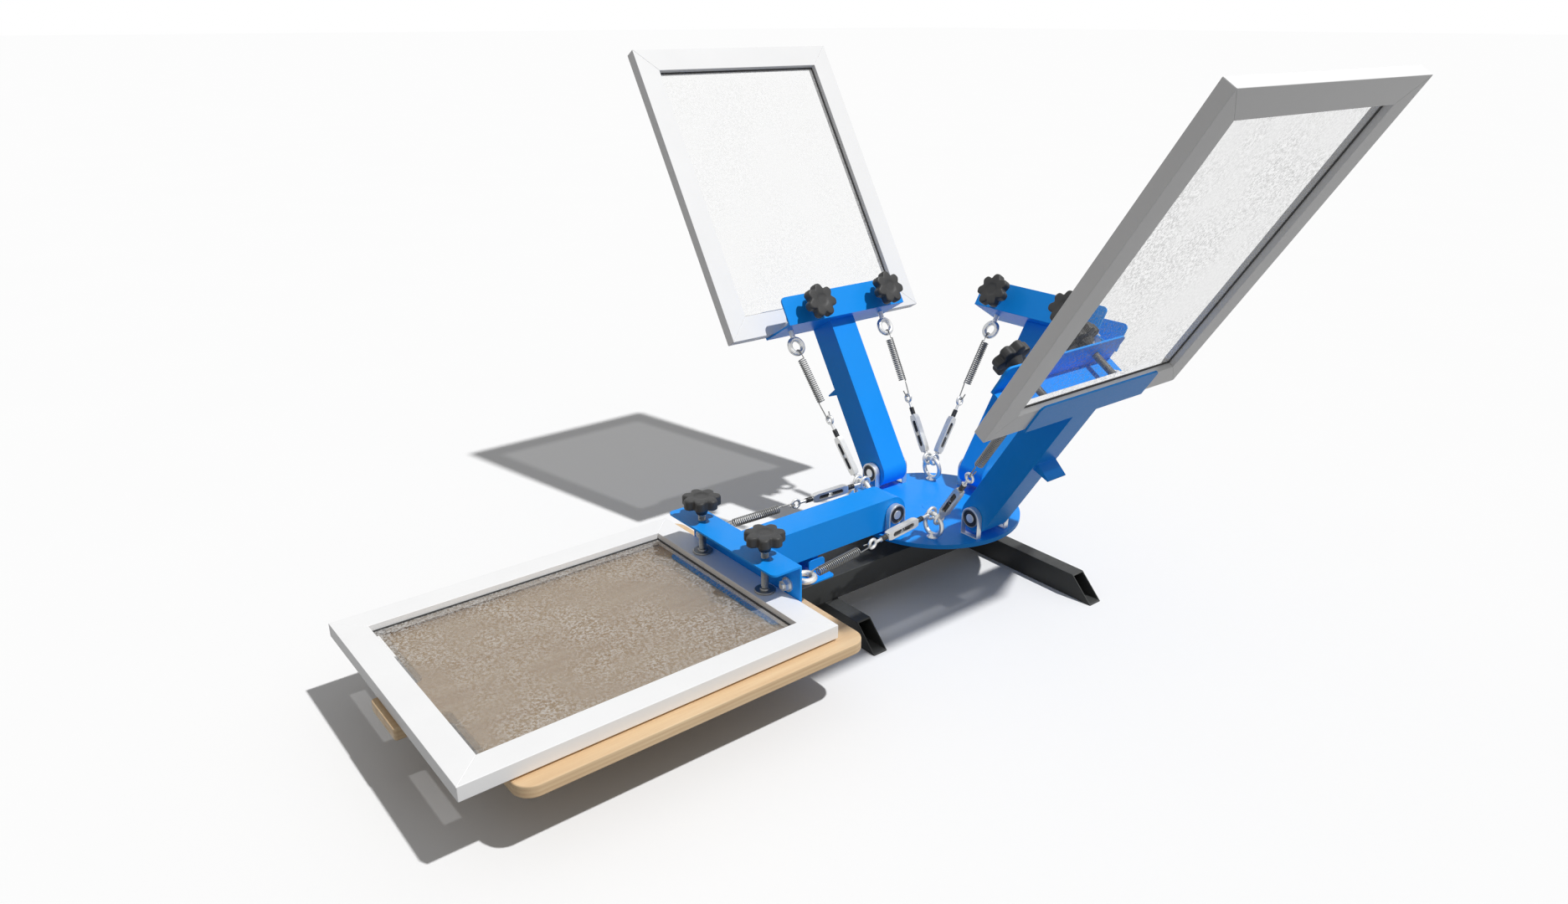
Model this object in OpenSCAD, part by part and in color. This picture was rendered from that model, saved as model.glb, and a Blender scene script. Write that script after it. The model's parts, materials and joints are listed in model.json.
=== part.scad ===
// Tabletop screen printing press with four swinging print heads on one turntable.
// Everything is modelled about the spindle axis with the front head pointing to -Y, then moved so that the
// origin is the middle of the rear foot's underside, on the bench.
// In a head's own frame +X runs outward along the arm, +Y is its left side seen from the spindle, +Z is up,
// and the arm lies level; lifting turns the head about its hinge pin.

/* [Screen] */
// Length of a printing screen, from the clamp end to the tip
screen_l = 508; // [400:1:560]
// Width of a printing screen
screen_w = 406.4; // [340:1:430]
// Width of the frame tube, seen from above
rail_w = 38.1; // [25:0.1:45]
// Height of the frame tube
rail_h = 19.05; // [16:0.05:24]
// Wall of the frame tube
rail_wall = 1.6; // [1.2:0.1:3]
// Thickness of the stretched mesh
mesh_t = 0.6; // [0.4:0.1:1.2]
// Side of the square bead that holds the mesh in the frame
bead_side = 2.4; // [2:0.1:3.5]

/* [Print head] */
// Distance from the spindle to a screen's clamp end, with the head down
screen_start_r = 375.7; // [365:0.1:420]
// Distance from the spindle to the hinge pins
hinge_r = 111.7; // [106:0.1:120]
// Side of the square arm tube
arm_side = 50.8; // [44:0.1:56]
// Wall of the arm tube
arm_wall = 3; // [2:0.1:5]
// How far a raised head is lifted, in degrees
lift_angle = 58; // [50:0.5:60]
// How much higher the clamp sits on the arms of the three raised heads
clamp_rise = 11.5; // [6:0.1:14]
// Length of the clamp channel, across the head
clamp_l = 250; // [235:1:290]
// Depth of the clamp channel, along the arm, in front of its web
clamp_d = 44.3; // [40:0.1:60]
// Height inside the clamp channel, between jaw and top plate
throat_h = 66.9; // [60:0.1:74]
// Thickness of the clamp sheet
clamp_t = 3; // [2.5:0.1:4]
// Corner radius of the clamp plates
clamp_corner_r = 8; // [4:0.5:14]

/* [Clamp screws] */
// Spacing of the two clamp screws of a head
screw_spacing = 148; // [120:1:170]
// Distance from the screen's clamp end to the screws
screw_inset = 18.9; // [16:0.1:22]
// Radius of a clamp screw
screw_r = 5.5; // [4:0.1:7]
// Radius of the pressing pad
pad_r = 14.5; // [11:0.1:17]
// Thickness of the pressing pad
pad_t = 3; // [2:0.1:5]
// Radius of the star knob to the tips of its lobes
knob_r = 28; // [24:0.5:32]
// Height of the knob's lobed part
knob_h = 15; // [11:0.5:19]
// Height of the tapered hub below the lobes
hub_h = 13; // [9:0.5:16]
// Height of the knob's hub end above the clamp's top plate
hub_gap = 9; // [6:0.5:12]
// Number of lobes of a knob
knob_lobes = 7; // [5:1:9]

/* [Turntable] */
// Radius of the turntable disc
disc_r = 139.3; // [136:0.1:145]
// Thickness of the turntable disc
disc_t = 6.75; // [5:0.05:9]
// Height of the hinge pins above the disc
hinge_rise = 29.9; // [28:0.1:34]
// Radius of a hinge pin
pin_r = 5.5; // [4:0.1:7]
// Distance from the head's middle to the outer face of a hinge bracket
bracket_out = 35.5; // [34:0.1:38]
// Thickness of the strap that a hinge bracket is bent from
bracket_strip = 1.8; // [1.2:0.1:3]
// Radius of the bearing in a hinge bracket
bearing_r = 14.6; // [12:0.1:16]
// Radius of the pin collar inside the bearing
collar_r = 7.1; // [6.2:0.1:9]
// Radius of the spindle
spindle_r = 12; // [9:0.1:16]

/* [Ring bolts and eye bolts] */
// Distance of a ring bolt from the spindle, along each arm
ring_place = 79; // [76:0.1:82]
// Radius to the middle of a ring bolt's wire
ring_major = 17.25; // [16:0.05:19]
// Radius of a ring bolt's wire
ring_wire_r = 3.75; // [3:0.05:4]
// Distance from the head's middle to an eye bolt
eye_side = 99; // [92:0.1:106]
// Radius to the middle of an eye bolt's wire
eye_major = 12.2; // [11:0.1:14]
// Radius of an eye bolt's wire
eye_wire_r = 4.3; // [3.5:0.1:5]

/* [Turnbuckles and springs] */
// Length of a turnbuckle's slotted body
buckle_l = 66; // [56:1:70]
// Height of a turnbuckle's body
buckle_h = 14; // [12:0.1:16]
// Thickness of a turnbuckle's body
buckle_t = 9; // [8.5:0.1:11]
// Outer diameter of a spring
coil_d = 13.5; // [12:0.1:15]
// Diameter of the spring wire
coil_wire_d = 2; // [1.6:0.1:2.4]
// Number of curls of a spring
coil_turns = 10; // [6:1:11]

/* [Base] */
// Width of the main beam
beam_w = 76.2; // [70:0.1:90]
// Height of the main beam
beam_h = 38.1; // [35:0.1:42]
// Wall of the main beam
beam_wall = 3; // [2:0.1:5]
// Distance from the spindle to the beam's front end
beam_front_r = 640; // [600:1:700]
// Width of a foot tube
foot_w = 25.4; // [22:0.1:40]
// Height of a foot tube
foot_h = 38.1; // [34:0.1:45]
// Wall of a foot tube
foot_wall = 2; // [1.5:0.1:4]
// Full length of the front foot
front_foot_l = 293; // [250:1:340]
// Full length of the rear foot
rear_foot_l = 495.4; // [440:1:540]
// Distance from the spindle to the front foot's middle
front_foot_r = 243.7; // [225:0.1:260]
// Distance from the spindle to the rear foot's middle
rear_foot_r = 112.3; // [105:0.1:130]

/* [Platen] */
// Length of the wide part of the platen
platen_l = 485; // [440:1:490]
// Width of the platen
platen_w = 447.4; // [400:0.1:460]
// Thickness of the platen board
platen_t = 15.9; // [14:0.1:16.5]
// Corner radius of the platen
platen_corner_r = 24; // [12:1:40]
// Width of the platen's tongue
tongue_w = 76; // [60:1:90]
// Length of the platen's tongue
tongue_l = 64; // [50:1:80]
// Distance from the spindle to the platen's rear edge
platen_start_r = 341; // [330:1:345]

/* [Registration] */
// Width of the guide tab under an arm
tab_w = 39; // [30:0.5:44]
// Length of the guide tab at its root
tab_l = 12.7; // [10:0.1:16]
// Distance from the spindle to the guide tab's middle
tab_r = 260.8; // [255:0.1:266]
// Clearance between the guide tab and each cheek of the gate
gate_gap = 1; // [0.5:0.1:2]
// Length of the gate's cheeks
cheek_l = 30; // [24:1:36]
// Thickness of the gate's sheet
gate_t = 3; // [2:0.1:4]

/* [Hidden] */
$fn = 48;

// Fits: sliding faces and pins, loose pieces, and the overrun of a cut past a face
run_fit = 0.05;
side_fit = 0.8;
seat_fit = 0.05;
cut = 1;

blue = [0.09, 0.5, 0.9];
black = [0.14, 0.14, 0.14];
zinc = [0.82, 0.82, 0.8];
charcoal = [0.2, 0.2, 0.2];
timber = [0.87, 0.75, 0.57];
white = [0.96, 0.96, 0.96];
steel = [0.45, 0.45, 0.44];
haze = [0.85, 0.84, 0.8, 0.6];

// Heads: the turn of each about the spindle, its lift and the rise of its clamp
heads = ["front", "left", "rear", "right"];
head_turn = [-90, 180, 90, 0];
head_lift = [0, lift_angle, lift_angle, lift_angle];
head_rise = [0, clamp_rise, clamp_rise, clamp_rise];
function has_screen(k) = heads[k] != "rear";
function crosswise(k) = heads[k] == "left" || heads[k] == "right";

// Heights from the bench up
beam_z = foot_h;
beam_top = beam_z + beam_h;
washer_t = 3;
post_h = 21.8;
post_top = beam_top + post_h;
disc_z = post_top + washer_t;
disc_top = disc_z + disc_t;
hinge_z = disc_top + hinge_rise;
arm_z = hinge_z - arm_side / 2;
arm_top = hinge_z + arm_side / 2;
screen_drop = 15.65;
screen_top = hinge_z - screen_drop;
screen_z = screen_top - rail_h;
jaw_top = screen_z - seat_fit;
jaw_z = jaw_top - clamp_t;
plate_z = jaw_top + throat_h;
plate_top = plate_z + clamp_t;
platen_fit = 0.45;
platen_top = jaw_z - platen_fit;
platen_z = platen_top - platen_t;

// Places along a level head
screen_fit = 0.5;
web_in = screen_start_r - screen_fit;
web_out = web_in - clamp_t;
clamp_end = web_in + clamp_d;
screw_place = screen_start_r + screw_inset;
arm_core_start = hinge_r + arm_side;
hub_z = plate_top + hub_gap;
knob_z = hub_z + hub_h;
knob_top = knob_z + knob_h;
pad_z = screen_top + seat_fit;
eye_drop = 1.6;
eye_z = hinge_z - eye_drop;
eye_neck = 15.3;
eye_r = web_out - eye_neck - eye_major;
tab_drop = 27.9;

module place() translate([0, -rear_foot_r, 0]) children();
module head(k) place() rotate([0, 0, head_turn[k]]) children();
module lifted(k) head(k) translate([hinge_r, 0, hinge_z]) rotate([0, -head_lift[k], 0])
    translate([-hinge_r, 0, -hinge_z]) children();
module sides() for (side = [0, 1]) mirror([0, side, 0]) children();
module quarter() place() for (turn = head_turn) rotate([0, 0, turn]) children();

// A flat outline with round corners, from the corner at the origin
module round_square(size, r) {
    translate([r, 0]) square([size[0] - 2 * r, size[1]]);
    translate([0, r]) square([size[0], size[1] - 2 * r]);
    for (x = [r, size[0] - r], y = [r, size[1] - r]) translate([x, y]) circle(r);
}
// A rod along +X from x0 to x1
module rod(r, x0, x1) translate([x0, 0, 0]) rotate([0, 90, 0]) cylinder(r = r, h = x1 - x0);
module ring(major, minor) rotate_extrude() translate([major, 0]) circle(minor, $fn = 24);

// Base

module main_beam() color(black) place() {
    length = beam_front_r + rear_foot_r + foot_w / 2;
    translate([-beam_w / 2, -beam_front_r, beam_z]) difference() {
        cube([beam_w, length, beam_h]);
        translate([beam_wall, -cut, beam_wall])
            cube([beam_w - 2 * beam_wall, length + 2 * cut, beam_h - 2 * beam_wall]);
    }
}

// A foot of square tube whose ends are cut at 45 degrees, the underside being the longer
module foot(length) {
    half = length / 2;
    difference() {
        rotate([90, 0, 0]) translate([0, 0, -foot_w / 2]) linear_extrude(foot_w)
            polygon([[-half, 0], [half, 0], [half - foot_h, foot_h], [foot_h - half, foot_h]]);
        translate([-half - cut, foot_wall - foot_w / 2, foot_wall])
            cube([length + 2 * cut, foot_w - 2 * foot_wall, foot_h - 2 * foot_wall]);
    }
}
module front_foot() color(black) place() translate([0, -front_foot_r, 0]) foot(front_foot_l);
module rear_foot() color(black) place() translate([0, rear_foot_r, 0]) foot(rear_foot_l);

// The post stands on the beam and carries the spindle, whose end stops below the cap
flange_r = 36;
flange_t = 6;
post_r = 24;
cap_r = 16;
cap_t = 2.5;
cap_fit = 0.1;
module spindle_post() color(steel) place() {
    translate([0, 0, beam_top]) cylinder(r = flange_r, h = flange_t);
    translate([0, 0, beam_top]) cylinder(r = post_r, h = post_h);
    translate([0, 0, beam_top]) cylinder(r = spindle_r, h = disc_top - cap_t - beam_top);
}
module spindle_cap() color(blue) place() translate([0, 0, disc_top - cap_t])
    cylinder(r = cap_r, h = cap_t);
module thrust_washer() color(zinc) place() translate([0, 0, post_top]) difference() {
    cylinder(r = post_r, h = washer_t);
    translate([0, 0, -cut]) cylinder(r = spindle_r + run_fit, h = washer_t + 2 * cut);
}

// The gate on the beam: a base sheet and two cheeks that take a lowered arm's guide tab
cheek_rise = 27;
gate_pad_l = 46;
gate_corner_r = 6;
module registration_gate() color(blue) place() rotate([0, 0, head_turn[0]]) {
    inner = tab_w / 2 + gate_gap;
    translate([tab_r - gate_pad_l / 2, -beam_w / 2, beam_top]) linear_extrude(gate_t)
        round_square([gate_pad_l, beam_w], gate_corner_r);
    sides() translate([tab_r - cheek_l / 2, inner + gate_t, beam_top + gate_t])
        rotate([90, 0, 0]) linear_extrude(gate_t) {
            square([cheek_l, cheek_rise - gate_corner_r]);
            translate([gate_corner_r, 0]) square([cheek_l - 2 * gate_corner_r, cheek_rise]);
            for (x = [gate_corner_r, cheek_l - gate_corner_r])
                translate([x, cheek_rise - gate_corner_r]) circle(gate_corner_r);
        }
}

// The board is wide under the screen and has a tongue beyond the screen's tip
tongue_fillet_r = 10;
tongue_corner_r = 4;
module platen_board() color(timber) place() rotate([0, 0, head_turn[0]])
    translate([platen_start_r, 0, platen_z]) linear_extrude(platen_t) {
        translate([0, -platen_w / 2]) round_square([platen_l, platen_w], platen_corner_r);
        translate([platen_l - platen_corner_r, -tongue_w / 2])
            round_square([platen_corner_r + tongue_l, tongue_w], tongue_corner_r);
        sides() translate([platen_l, tongue_w / 2]) difference() {
            square(tongue_fillet_r);
            translate([tongue_fillet_r, tongue_fillet_r]) circle(tongue_fillet_r);
        }
    }

// Two flat bars carry the board on the beam
mount_bar_w = 60;
mount_bar_l = 200;
mount_bar_shares = [0.16, 0.5];
module platen_mounts() color(black) place() rotate([0, 0, head_turn[0]])
    for (share = mount_bar_shares)
        translate([platen_start_r + share * platen_l - mount_bar_w / 2, -mount_bar_l / 2, beam_top])
            cube([mount_bar_w, mount_bar_l, platen_z - beam_top]);

// Turntable

ring_shank_r = 4;
module turntable_disc() color(blue) place() translate([0, 0, disc_z]) difference() {
    cylinder(r = disc_r, h = disc_t, $fn = 120);
    translate([0, 0, -cut]) cylinder(r = spindle_r + run_fit, h = disc_t + 2 * cut);
    translate([0, 0, disc_t - cap_t]) cylinder(r = cap_r + cap_fit, h = cap_t + cut);
    for (turn = head_turn) rotate([0, 0, turn]) translate([ring_place, ring_place, -cut])
        cylinder(r = ring_shank_r + run_fit, h = disc_t + 2 * cut);
}

// A bracket is a strap bent over its bearing, with two legs on a strip that lies on the disc
bracket_in = arm_side / 2 + side_fit;
bracket_arch_r = bearing_r + bracket_strip;
module bracket_outline() difference() {
    union() {
        circle(bracket_arch_r);
        translate([-bracket_arch_r, -hinge_rise]) square([2 * bracket_arch_r, hinge_rise]);
    }
    circle(bearing_r);
    translate([-bearing_r, bracket_strip - hinge_rise]) square([2 * bearing_r, hinge_rise - bracket_strip]);
}
// Pieces round a hinge axis are drawn in its own plane and stood up between two distances from the middle
module at_hinge(from, to) translate([hinge_r, to, hinge_z]) rotate([90, 0, 0])
    linear_extrude(to - from) children();
module hinge_brackets() color(zinc) quarter() sides() at_hinge(bracket_in, bracket_out)
    bracket_outline();
module hinge_bearings() color(charcoal) quarter() sides() at_hinge(bracket_in, bracket_out)
    difference() { circle(bearing_r); circle(collar_r); }
module hinge_pins() color(zinc) quarter() {
    at_hinge(-bracket_out, bracket_out) circle(pin_r);
    sides() at_hinge(bracket_in, bracket_out) circle(collar_r);
}

// A ring bolt stands in the disc between two heads; its ring faces along the front and rear arms
ring_z = disc_top + ring_major + ring_wire_r;
nut_af_r = 7;
nut_t = 6;
nut_gap = 0.2;
module ring_bolts() color(zinc) place() for (x = [-1, 1], y = [-1, 1])
    translate([x * ring_place, y * ring_place, 0]) {
        translate([0, 0, ring_z]) rotate([90, 0, 0]) ring(ring_major, ring_wire_r);
        translate([0, 0, disc_z - nut_t - nut_gap])
            cylinder(r = ring_shank_r, h = ring_z - ring_major - disc_z + nut_t + nut_gap);
        translate([0, 0, disc_z - nut_t - nut_gap]) cylinder(r = nut_af_r, h = nut_t, $fn = 6);
    }

// Heads

// The arm's rear end is round about its pin; past the pin it is a tube, with a wedge tab below
tab_tip = 2.4;
module arm(k) color(blue) lifted(k) {
    difference() {
        at_hinge(-arm_side / 2, arm_side / 2) {
            circle(arm_side / 2);
            translate([0, -arm_side / 2]) square([web_out - hinge_r, arm_side]);
        }
        translate([arm_core_start, arm_wall - arm_side / 2, arm_z + arm_wall])
            cube([web_out - arm_core_start + cut, arm_side - 2 * arm_wall, arm_side - 2 * arm_wall]);
        translate([hinge_r, 0, hinge_z]) rotate([90, 0, 0])
            cylinder(r = pin_r + run_fit, h = arm_side + 2 * cut, center = true);
    }
    translate([tab_r, tab_w / 2, arm_z]) rotate([90, 0, 0]) linear_extrude(tab_w)
        polygon([[-tab_l / 2, 0], [tab_l / 2, 0], [tab_tip / 2, -tab_drop], [-tab_tip / 2, -tab_drop]]);
}

// The clamp is a channel open to the screen: web, jaw below the screen and top plate with the screw holes
module clamp_plate(z) translate([web_out, -clamp_l / 2, z]) linear_extrude(clamp_t) {
    square([clamp_t + clamp_d - clamp_corner_r, clamp_l]);
    translate([0, clamp_corner_r]) square([clamp_t + clamp_d, clamp_l - 2 * clamp_corner_r]);
    for (y = [clamp_corner_r, clamp_l - clamp_corner_r])
        translate([clamp_t + clamp_d - clamp_corner_r, y]) circle(clamp_corner_r);
}
module clamp(k) color(blue) lifted(k) translate([0, 0, head_rise[k]]) difference() {
    union() {
        clamp_plate(jaw_z);
        clamp_plate(plate_z);
        translate([web_out, -clamp_l / 2, jaw_z]) cube([clamp_t, clamp_l, plate_top - jaw_z]);
    }
    sides() translate([screw_place, screw_spacing / 2, plate_z - cut])
        cylinder(r = screw_r + run_fit, h = clamp_t + 2 * cut);
    sides() translate([web_out - cut, eye_side, eye_z]) rotate([0, 90, 0])
        cylinder(r = eye_shank_r + run_fit, h = clamp_t + 2 * cut);
}

// An eye bolt runs through the web; its washer and nut are inside the channel
eye_shank_r = 4;
eye_end = 12;
eye_washer_r = 10.5;
eye_washer_t = 2;
eye_nut_r = 8;
eye_nut_t = 7;
module eye_bolts(k) color(zinc) lifted(k) translate([0, 0, head_rise[k]]) sides()
    translate([0, eye_side, eye_z]) {
        translate([eye_r, 0, 0]) ring(eye_major, eye_wire_r);
        rod(eye_shank_r, eye_r + eye_major, web_in + eye_end);
        rod(eye_washer_r, web_in, web_in + eye_washer_t);
        translate([web_in + eye_washer_t, 0, 0]) rotate([0, 90, 0])
            cylinder(r = eye_nut_r, h = eye_nut_t, $fn = 6);
    }

// Screens

// One mitred rail along +X from the corner at the origin, hollow, its outer face at y = 0; its mitres
// stop short by half of the weld gap
weld_gap = 0.02;
module rail(length) difference() {
    linear_extrude(rail_h)
        polygon([[weld_gap, 0], [length - weld_gap, 0], [length - rail_w - weld_gap, rail_w],
            [rail_w + weld_gap, rail_w]]);
    translate([-cut, rail_wall, rail_wall])
        cube([length + 2 * cut, rail_w - 2 * rail_wall, rail_h - 2 * rail_wall]);
}
module on_screen(k) lifted(k)
    translate([screen_start_r, -screen_w / 2, screen_z + head_rise[k]]) children();
module screen_frame(k) color(white) on_screen(k) {
    rail(screen_l);
    translate([screen_l, 0, 0]) rotate([0, 0, 90]) rail(screen_w);
    translate([screen_l, screen_w, 0]) rotate([0, 0, 180]) rail(screen_l);
    translate([0, screen_w, 0]) rotate([0, 0, -90]) rail(screen_w);
}
module screen_mesh(k) color(haze) on_screen(k) translate([rail_w, rail_w, rail_h / 2]) {
    window = [screen_l - 2 * rail_w, screen_w - 2 * rail_w];
    translate([0, 0, -mesh_t / 2]) cube([window[0], window[1], mesh_t]);
    translate([0, 0, -bead_side / 2]) difference() {
        cube([window[0], window[1], bead_side]);
        translate([bead_side, bead_side, -cut])
            cube([window[0] - 2 * bead_side, window[1] - 2 * bead_side, bead_side + 2 * cut]);
    }
}

// Clamp screws and knobs

module at_screw(k, side) lifted(k)
    translate([screw_place, side * screw_spacing / 2, head_rise[k]]) children();
module clamp_screw(k, side) color(steel) at_screw(k, side) {
    translate([0, 0, pad_z]) cylinder(r = pad_r, h = pad_t);
    translate([0, 0, pad_z]) cylinder(r = screw_r, h = knob_z - pad_z);
}
// Round lobes with round hollows between them, on a tapered hub
lobe_r_share = 0.29;
hollow_r_share = 0.24;
hub_r_share = 0.48;
hub_end_share = 0.27;
module knob(k, side) color(charcoal) at_screw(k, side) {
    lobe_r = lobe_r_share * knob_r;
    hollow_r = hollow_r_share * knob_r;
    step = 360 / knob_lobes;
    translate([0, 0, knob_z]) linear_extrude(knob_h) difference() {
        union() {
            circle(knob_r - lobe_r);
            for (i = [0 : knob_lobes - 1]) rotate(i * step) translate([knob_r - lobe_r, 0]) circle(lobe_r);
        }
        for (i = [0 : knob_lobes - 1]) rotate((i + 0.5) * step) translate([knob_r, 0]) circle(hollow_r);
    }
    translate([0, 0, hub_z]) rotate_extrude() polygon([[screw_r, 0], [hub_end_share * knob_r, 0],
        [hub_r_share * knob_r, hub_h], [screw_r, hub_h]]);
}

// Turnbuckles and springs

// Where a ring bolt's wire is hooked, as turns from the ring's top: front and rear heads hook one side
// of the top, left and right heads the other side
hook_turn_lengthwise = -15;
hook_turn_crosswise = 40;
function ring_point(turn) = [ring_place + ring_major * sin(turn), ring_z + ring_major * cos(turn)];
function chain_start(k) = crosswise(k)
    ? [ring_point(hook_turn_crosswise)[0], ring_place, ring_point(hook_turn_crosswise)[1]]
    : [ring_place, ring_point(hook_turn_lengthwise)[0], ring_point(hook_turn_lengthwise)[1]];
// The near side of an eye bolt's wire, in the head's frame after lifting
function chain_end(k) = let (dx = eye_r - eye_major - hinge_r, dz = eye_z + head_rise[k] - hinge_z,
        a = head_lift[k])
    [hinge_r + dx * cos(a) - dz * sin(a), eye_side, hinge_z + dx * sin(a) + dz * cos(a)];
function chain_l(k) = norm(chain_end(k) - chain_start(k));
function chain_pitch(k) = let (d = chain_end(k) - chain_start(k)) atan2(d[2], d[0]);
function chain_yaw(k) = let (d = chain_end(k) - chain_start(k)) atan2(d[1], norm([d[0], d[2]]));
module on_chain(k) head(k) sides() translate(chain_start(k)) rotate([0, -chain_pitch(k), 0])
    rotate([0, 0, chain_yaw(k)]) children();

loop_major = 8.5;
loop_wire_r = 2.5;
loop_lean = 20;
// A lifted head's turnbuckle is screwed up to its hook
body_start_lowered = 36;
body_start_lifted = 13;
hook_stub_lowered = 14;
hook_stub_lifted = 1.5;
function body_start(k) = head_lift[k] > 0 ? body_start_lifted : body_start_lowered;
function hook_stub(k) = head_lift[k] > 0 ? hook_stub_lifted : hook_stub_lowered;
stub_r = 3.6;
thread_r = 2.9;
stub_l = 14;
thread_l = 20;
slot_end = 10;
slot_h_share = 0.5;
taper_share = 0.72;
buckle_taper = 7;
buckle_eye_major = 6.5;
buckle_eye_wire_r = 2.25;
buckle_neck = 22.25;
function body_end(k) = body_start(k) + buckle_l;
function buckle_eye(k) = body_end(k) + buckle_neck + buckle_eye_major + buckle_eye_wire_r;
slot_h = slot_h_share * buckle_h;
end_h = taper_share * buckle_h;
module turnbuckles(k) color(zinc) on_chain(k) {
    if (crosswise(k)) rotate([0, -loop_lean, 0]) ring(loop_major, loop_wire_r);
    else rotate([0, 0, -chain_yaw(k)]) rotate([90, 0, 0]) ring(loop_major, loop_wire_r);
    rod(loop_wire_r, loop_major - loop_wire_r / 2, body_start(k) - hook_stub(k));
    rod(stub_r, body_start(k) - hook_stub(k), body_start(k) + cut);
    translate([body_start(k), buckle_t / 2, 0]) rotate([90, 0, 0]) linear_extrude(buckle_t) difference() {
        polygon([[0, end_h / 2], [buckle_taper, buckle_h / 2], [buckle_l - buckle_taper, buckle_h / 2],
            [buckle_l, end_h / 2], [buckle_l, -end_h / 2], [buckle_l - buckle_taper, -buckle_h / 2],
            [buckle_taper, -buckle_h / 2], [0, -end_h / 2]]);
        translate([slot_end + slot_h / 2, -slot_h / 2]) square([buckle_l - 2 * slot_end - slot_h, slot_h]);
        for (x = [slot_end + slot_h / 2, buckle_l - slot_end - slot_h / 2])
            translate([x, 0]) circle(slot_h / 2);
    }
    rod(thread_r, body_start(k) + slot_end - cut, body_start(k) + slot_end + thread_l);
    rod(thread_r, body_end(k) - slot_end - thread_l, body_end(k) - slot_end + cut);
    rod(stub_r, body_end(k) - cut, body_end(k) + stub_l);
    rod(buckle_eye_wire_r, body_end(k) + stub_l - cut, buckle_eye(k) - buckle_eye_major);
    translate([buckle_eye(k), 0, 0]) rotate([90, 0, 0]) ring(buckle_eye_major, buckle_eye_wire_r);
}

// A spring is one wire: an open hook through the turnbuckle's eye, a long leg, the coil and a hook round
// the eye bolt
hook_fit = 0.5;
spring_leg = 32;
function coil_start(k) = buckle_eye(k) + spring_leg;
coil_stop = 11;
coil_r = (coil_d - coil_wire_d) / 2;
wire_r = coil_wire_d / 2;
small_hook_r = buckle_eye_wire_r + wire_r + hook_fit;
big_hook_r = eye_wire_r + wire_r + hook_fit;
curl_rings = 8;
wire_sides = 6;
hook_tail = 4;
small_hook_angles = [-90, -150, -210, -270];
big_hook_angles = [90, 40, -10, -60];
function spring_route(k) = let (l = chain_l(k), a = coil_start(k), b = l - coil_stop,
        n = coil_turns * curl_rings + curl_rings / 4, w = buckle_eye(k) + buckle_eye_major) concat(
    [[w + hook_tail, -small_hook_r - wire_r, 0]],
    [for (t = small_hook_angles) [w + small_hook_r * cos(t), small_hook_r * sin(t), 0]],
    [[(w + a) / 2, (small_hook_r + coil_r) / 2, 0]],
    [for (i = [0 : n]) let (t = 360 * i / curl_rings)
        [a + (b - a) * i / n, coil_r * cos(t), coil_r * sin(t)]],
    [for (t = big_hook_angles) [l + big_hook_r * cos(t), 0, big_hook_r * sin(t)]]);

function unit(v) = v / norm(v);
function cross_frame(t, u) = unit(u - (u * t) * t);
function tangents(p) = [for (i = [0 : len(p) - 1])
    unit(p[min(i + 1, len(p) - 1)] - p[max(i - 1, 0)])];
// Rings of points round a route, turned as little as possible from one to the next
function wire_points(p, r) = let (t = tangents(p), first = cross_frame(t[0], [0, 0, 1]),
        ups = [for (i = 0, u = first; i < len(p); i = i + 1, u = i < len(p) ? cross_frame(t[i], u) : u) u])
    [for (i = [0 : len(p) - 1], j = [0 : wire_sides - 1]) let (a = 360 * j / wire_sides)
        p[i] + r * (cos(a) * ups[i] + sin(a) * cross(t[i], ups[i]))];
module wire(p, r) {
    n = len(p);
    s = wire_sides;
    polyhedron(wire_points(p, r), concat(
        [[for (j = [0 : s - 1]) s - 1 - j]],
        [for (i = [0 : n - 2], j = [0 : s - 1], half = [0, 1])
            let (a = i * s + j, b = i * s + (j + 1) % s) half == 0 ? [a, b, b + s] : [a, b + s, a + s]],
        [[for (j = [0 : s - 1]) (n - 1) * s + j]]));
}
// Least gap of a wire to itself, between points more than a third of a curl apart along it
function least_gap(p, r) = let (skip = ceil(curl_rings / 3) + 1)
    min([for (i = [0 : len(p) - 1 - skip], j = [i + skip : len(p) - 1]) norm(p[i] - p[j])]) - 2 * r;
module springs(k) color(steel) {
    route = spring_route(k);
    echo(str("spring_", heads[k], "_least_gap_mm"), least_gap(route, wire_r));
    on_chain(k) wire(route, wire_r);
}

main_beam();
front_foot();
rear_foot();
spindle_post();
spindle_cap();
thrust_washer();
registration_gate();
platen_board();
platen_mounts();
turntable_disc();
hinge_brackets();
hinge_bearings();
hinge_pins();
ring_bolts();
for (k = [0 : len(heads) - 1]) {
    arm(k);
    clamp(k);
    eye_bolts(k);
    if (has_screen(k)) {
        screen_frame(k);
        screen_mesh(k);
    }
    turnbuckles(k);
    springs(k);
    knob(k, -1);
    knob(k, 1);
    clamp_screw(k, -1);
    clamp_screw(k, 1);
}
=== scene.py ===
"""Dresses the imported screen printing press.

It adds rounded edges, threads, coils, stretched meshes and finishes, and sets the floor, light and camera.
"""

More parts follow.
